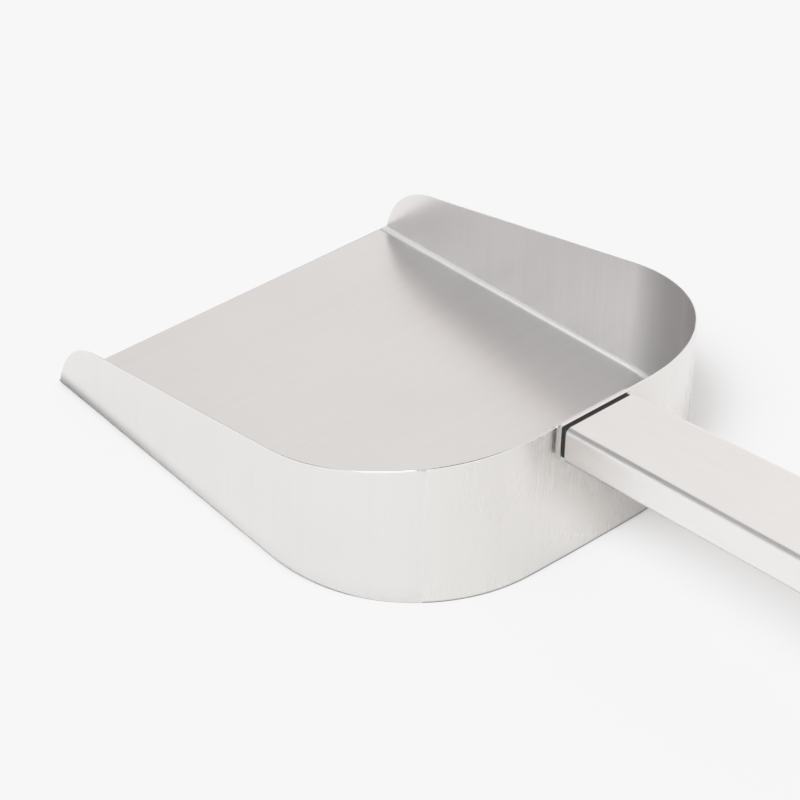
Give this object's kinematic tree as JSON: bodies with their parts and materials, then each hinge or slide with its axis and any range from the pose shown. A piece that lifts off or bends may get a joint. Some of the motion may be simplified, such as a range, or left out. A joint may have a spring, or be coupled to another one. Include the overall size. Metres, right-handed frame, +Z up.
{
  "type": "sheet-metal sand scoop",
  "caption": "Open D-shaped pan folded from brushed steel sheet, with side walls rising to a curved back and a flat, gently rising handle tube bolted behind it.",
  "frame": {"origin": "centre of the bounding box at its lowest level, on the surface the pan stands on", "axes": "+X towards the open mouth along the scoop's length, +Y to the left, +Z up"},
  "size_m": [0.486, 0.2506, 0.1049],
  "materials": {
    "steel_sheet": "satin brushed stainless sheet",
    "steel_tube": "satin brushed stainless tube",
    "steel_fastener": "plain stainless fastener",
    "insert_brass": "turned brass",
    "black_polymer": "matt moulded polymer"
  },
  "bodies": {
    "root": {"pan_sheet": "steel_sheet", "back_band": "steel_sheet", "backing_plate": "steel_sheet", "wall_screw_left": "steel_fastener", "wall_screw_right": "steel_fastener", "washer_left": "steel_fastener", "washer_right": "steel_fastener", "thread_insert_left": "insert_brass", "thread_insert_right": "insert_brass", "flange_plate": "steel_fastener", "handle_neck": "black_polymer", "handle_tube": "steel_tube", "neck_rivet": "steel_fastener", "end_cap": "black_polymer", "hang_eyelet": "steel_fastener"}
  },
  "joints": []
}
